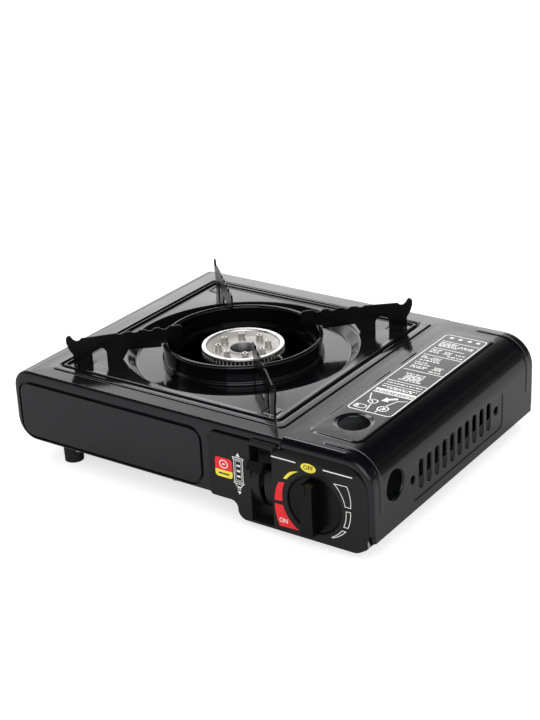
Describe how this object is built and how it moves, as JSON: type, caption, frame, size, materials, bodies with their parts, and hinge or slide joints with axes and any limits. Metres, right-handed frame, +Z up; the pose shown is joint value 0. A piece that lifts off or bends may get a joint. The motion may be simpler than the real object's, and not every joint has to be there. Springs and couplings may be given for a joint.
{
  "type": "butane cassette stove",
  "caption": "Flat black enamelled tabletop gas stove with a round burner, pan supports on a lift-off drip tray, a hinged cartridge lid at the right, a lock lever and a control knob.",
  "frame": {"origin": "bottom centre of the whole stove's box, on the surface that it stands on", "axes": "+X towards the cartridge lid, +Y to the back, +Z up"},
  "size_m": [0.345, 0.276, 0.1072],
  "materials": {
    "black_enamel": "glossy black stove enamel over pressed steel",
    "base_enamel": "plain black enamel, less gloss",
    "matt_black_enamel": "semi-matt black enamel over stamped steel",
    "black_plastic": "fine textured moulded plastic",
    "knob_plastic": "satin moulded plastic",
    "cast_aluminium": "plain die cast",
    "burner_aluminium": "die cast, blasted",
    "aluminium_tube": "drawn tube",
    "zinc_steel": "galvanised sheet",
    "plain_steel": "plain turned or drawn steel",
    "brass": "turned",
    "rubber": "matt black",
    "ceramic": "glazed white",
    "white_plastic": "natural moulded",
    "lead_insulation": "silicone insulation"
  },
  "bodies": {
    "body": {"top_shell": "black_enamel", "base_pan": "base_enamel", "bay_wall": "zinc_steel", "control_panel": "black_plastic", "cartridge_cradle": "zinc_steel", "collar_guide": "zinc_steel", "regulator_body": "cast_aluminium", "regulator_diaphragm": "rubber", "regulator_spring": "plain_steel", "regulator_cover": "cast_aluminium", "inlet_seal": "rubber", "regulator_screws": "plain_steel", "igniter_case": "black_plastic", "ignition_lead": "lead_insulation", "electrode_insulator": "ceramic", "electrode_rod": "plain_steel", "electrode_clip": "zinc_steel", "gas_pipe": "brass", "injector": "brass", "injector_bracket": "zinc_steel", "mixing_tube": "aluminium_tube", "burner_body": "cast_aluminium", "burner_head": "burner_aluminium", "burner_bracket": "zinc_steel", "lever_bracket": "zinc_steel", "lever_pin": "plain_steel", "lever_spring": "plain_steel", "slider_guides": "zinc_steel", "foot_front_left": "rubber", "foot_rear_left": "rubber", "foot_front_right": "rubber", "foot_rear_right": "rubber", "foot_screws": "plain_steel", "base_screws": "plain_steel", "hinge_pins": "plain_steel"},
    "cartridge_lid": {"cartridge_lid": "black_enamel"},
    "knob": {"knob": "knob_plastic", "valve_spindle": "brass", "ignition_cam": "white_plastic", "spindle_clip": "plain_steel"},
    "igniter_striker": {"igniter_striker": "white_plastic"},
    "lock_lever": {"lock_lever": "knob_plastic"},
    "cartridge_slider": {"cartridge_slider": "zinc_steel"},
    "drip_tray": {"drip_tray": "black_enamel", "wind_ring": "black_enamel", "support_front_right": "matt_black_enamel", "support_rear_right": "matt_black_enamel", "support_rear_left": "matt_black_enamel", "support_front_left": "matt_black_enamel"}
  },
  "joints": [
    {"name": "lid_hinge", "type": "hinge", "parent": "body", "child": "cartridge_lid", "pos_m": [0.1645, 0.007, 0.014], "axis": [0, 1, 0], "range_deg": [0, 85]},
    {"name": "knob_turn", "type": "hinge", "parent": "body", "child": "knob", "pos_m": [0.123, -0.12, 0.036], "axis": [0, -1, 0], "range_deg": [0, 150]},
    {"name": "striker_push", "type": "slide", "parent": "body", "child": "igniter_striker", "axis": [-1, 0, 0], "range_m": [0, 0.0025], "stiffness_N_per_m": 400},
    {"name": "lever_turn", "type": "hinge", "parent": "body", "child": "lock_lever", "pos_m": [0.0764, -0.097, 0.04], "axis": [1, 0, 0], "range_deg": [0, 54]},
    {"name": "slider_push", "type": "slide", "parent": "body", "child": "cartridge_slider", "axis": [0, -1, 0], "range_m": [0, 0.0112]},
    {"name": "tray_lift", "type": "slide", "parent": "body", "child": "drip_tray", "axis": [0, 0, 1], "range_m": [0, 0.12]}
  ],
  "couplings": [
    {"joint": "slider_push", "follows": "lever_turn", "m_per_rad": 0.01156}
  ]
}
